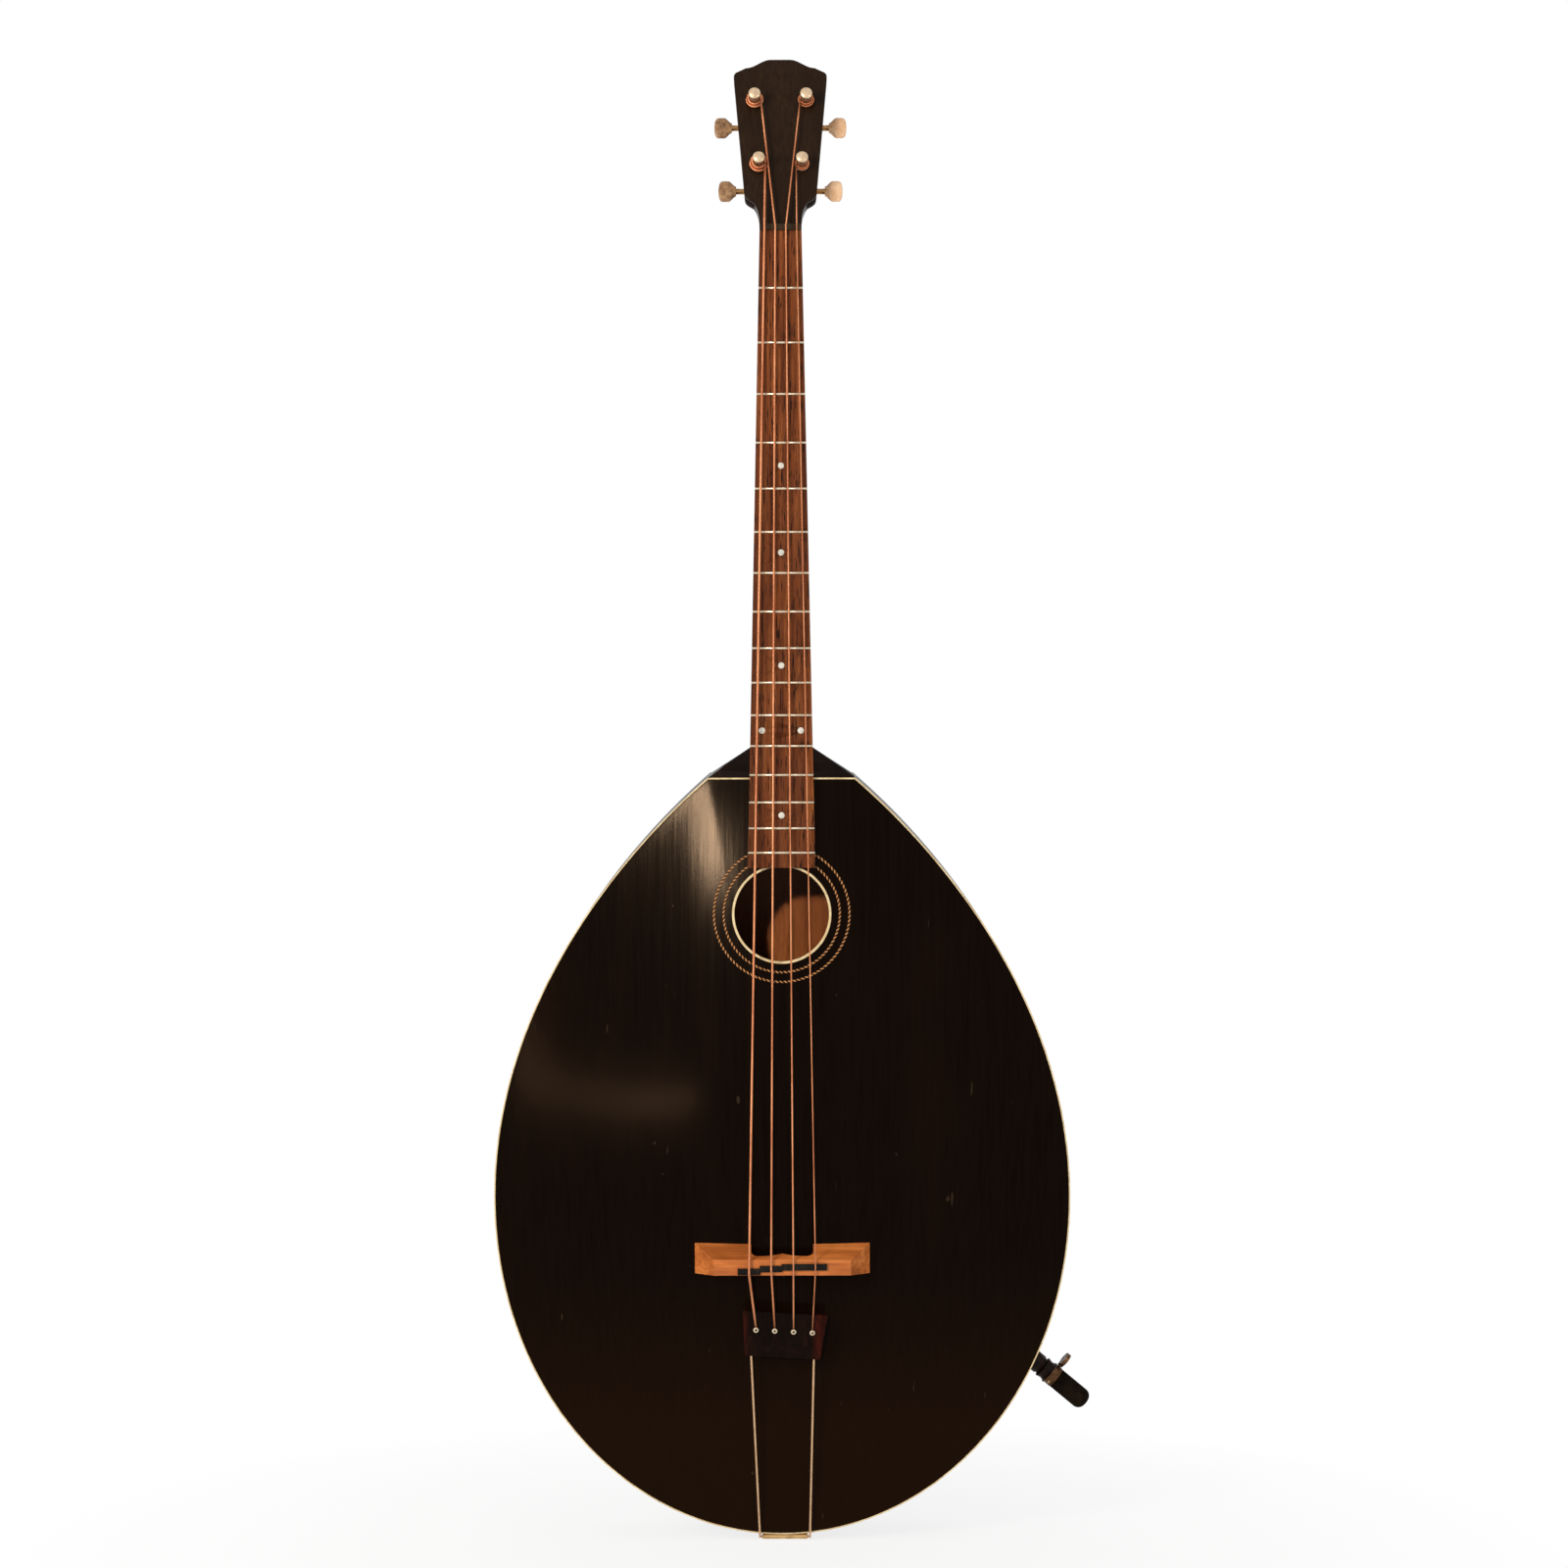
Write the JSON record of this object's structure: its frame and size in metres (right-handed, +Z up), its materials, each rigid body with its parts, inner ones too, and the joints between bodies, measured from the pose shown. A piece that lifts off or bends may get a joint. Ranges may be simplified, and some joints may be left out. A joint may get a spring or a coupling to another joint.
{
  "type": "four-string mando-bass",
  "caption": "Teardrop-bodied bass mandolin with arched black top, round soundhole, fretted neck, open geared tuners, trapeze tailpiece and sliding floor leg.",
  "frame": {"origin": "middle of the nut's fingerboard side, on the plane where the fingerboard is glued to the neck", "axes": "+Z up the neck towards the peghead, -Y out of the front, +X towards the treble side and the floor leg"},
  "size_m": [0.6243, 0.1856, 1.5499],
  "materials": {
    "black_lacquer": "gloss",
    "dark_wood": "gloss",
    "inner_wood": "raw",
    "cream_binding": "gloss",
    "rope_inlay": "gloss",
    "veneer": "gloss",
    "rosewood": "satin",
    "pearl": "gloss",
    "fret_metal": "satin",
    "ebony": "satin",
    "aged_brass": "satin",
    "post_metal": "satin",
    "button_cream": "gloss",
    "bronze_wound": "satin",
    "maple": "gloss",
    "tortoise": "gloss",
    "leg_steel": "satin",
    "rubber": "matt"
  },
  "bodies": {
    "instrument": {"soundboard": "black_lacquer", "back_plate": "dark_wood", "ribs": "dark_wood", "linings": "inner_wood", "neck_block": "inner_wood", "tail_block": "inner_wood", "top_brace": "inner_wood", "binding": "cream_binding", "neck_joint_strip": "cream_binding", "soundhole_ring": "cream_binding", "rosette_ropes": "rope_inlay", "neck": "dark_wood", "peghead_veneer": "veneer", "heel_cap": "ebony", "fingerboard": "rosewood", "frets": "fret_metal", "position_dots": "pearl", "nut": "ebony", "tuner_plates": "aged_brass", "plate_screws": "aged_brass", "post_bushings": "post_metal", "string_e": "bronze_wound", "string_a": "bronze_wound", "string_d": "bronze_wound", "string_g": "bronze_wound", "bridge": "maple", "saddles": "ebony", "tail_plate": "tortoise", "tail_pins": "pearl", "tail_wire": "aged_brass", "tail_hinge": "aged_brass", "hinge_screws": "aged_brass", "leg_block": "inner_wood", "leg_socket": "dark_wood", "leg_collar": "aged_brass", "collar_screw": "aged_brass"},
    "tuner_worm_e": {"worm_e": "aged_brass", "button_e": "button_cream"},
    "tuner_post_e": {"gear_e": "aged_brass", "post_e": "post_metal", "wrap_e": "bronze_wound"},
    "tuner_worm_a": {"worm_a": "aged_brass", "button_a": "button_cream"},
    "tuner_post_a": {"gear_a": "aged_brass", "post_a": "post_metal", "wrap_a": "bronze_wound"},
    "tuner_worm_d": {"worm_d": "aged_brass", "button_d": "button_cream"},
    "tuner_post_d": {"gear_d": "aged_brass", "post_d": "post_metal", "wrap_d": "bronze_wound"},
    "tuner_worm_g": {"worm_g": "aged_brass", "button_g": "button_cream"},
    "tuner_post_g": {"gear_g": "aged_brass", "post_g": "post_metal", "wrap_g": "bronze_wound"},
    "leg": {"leg_rod": "leg_steel", "rubber_tip": "rubber"},
    "thumbscrew": {"thumbscrew": "aged_brass"}
  },
  "joints": [
    {"name": "worm_e_spin", "type": "hinge", "parent": "instrument", "child": "tuner_worm_e", "pos_m": [-0.0224, 0.03498, 0.04787], "axis": [1, 0, 0], "continuous": true},
    {"name": "gear_e_turn", "type": "hinge", "parent": "instrument", "child": "tuner_post_e", "pos_m": [-0.0224, 0.03788, 0.06645], "axis": [0, 0.9659, -0.2588], "continuous": true},
    {"name": "worm_a_spin", "type": "hinge", "parent": "instrument", "child": "tuner_worm_a", "pos_m": [-0.0269, 0.05387, 0.11838], "axis": [1, 0, 0], "continuous": true},
    {"name": "gear_a_turn", "type": "hinge", "parent": "instrument", "child": "tuner_post_a", "pos_m": [-0.0269, 0.05678, 0.13696], "axis": [0, 0.9659, -0.2588], "continuous": true},
    {"name": "worm_d_spin", "type": "hinge", "parent": "instrument", "child": "tuner_worm_d", "pos_m": [0.0269, 0.05387, 0.11838], "axis": [1, 0, 0], "continuous": true},
    {"name": "gear_d_turn", "type": "hinge", "parent": "instrument", "child": "tuner_post_d", "pos_m": [0.0269, 0.05678, 0.13696], "axis": [0, 0.9659, -0.2588], "continuous": true},
    {"name": "worm_g_spin", "type": "hinge", "parent": "instrument", "child": "tuner_worm_g", "pos_m": [0.0224, 0.03498, 0.04787], "axis": [1, 0, 0], "continuous": true},
    {"name": "gear_g_turn", "type": "hinge", "parent": "instrument", "child": "tuner_post_g", "pos_m": [0.0224, 0.03788, 0.06645], "axis": [0, 0.9659, -0.2588], "continuous": true},
    {"name": "leg_slide", "type": "slide", "parent": "instrument", "child": "leg", "axis": [0.766, 0.0448, -0.6412], "range_m": [0, 0.3]},
    {"name": "thumbscrew_turn", "type": "hinge", "parent": "instrument", "child": "thumbscrew", "pos_m": [0.28569, 0.10176, -1.19695], "axis": [0.6428, -0.0534, 0.7642], "range_deg": [0, 360]}
  ],
  "couplings": [
    {"joint": "gear_e_turn", "follows": "worm_e_spin", "ratio": -0.05},
    {"joint": "gear_a_turn", "follows": "worm_a_spin", "ratio": -0.05},
    {"joint": "gear_d_turn", "follows": "worm_d_spin", "ratio": 0.05},
    {"joint": "gear_g_turn", "follows": "worm_g_spin", "ratio": 0.05}
  ]
}
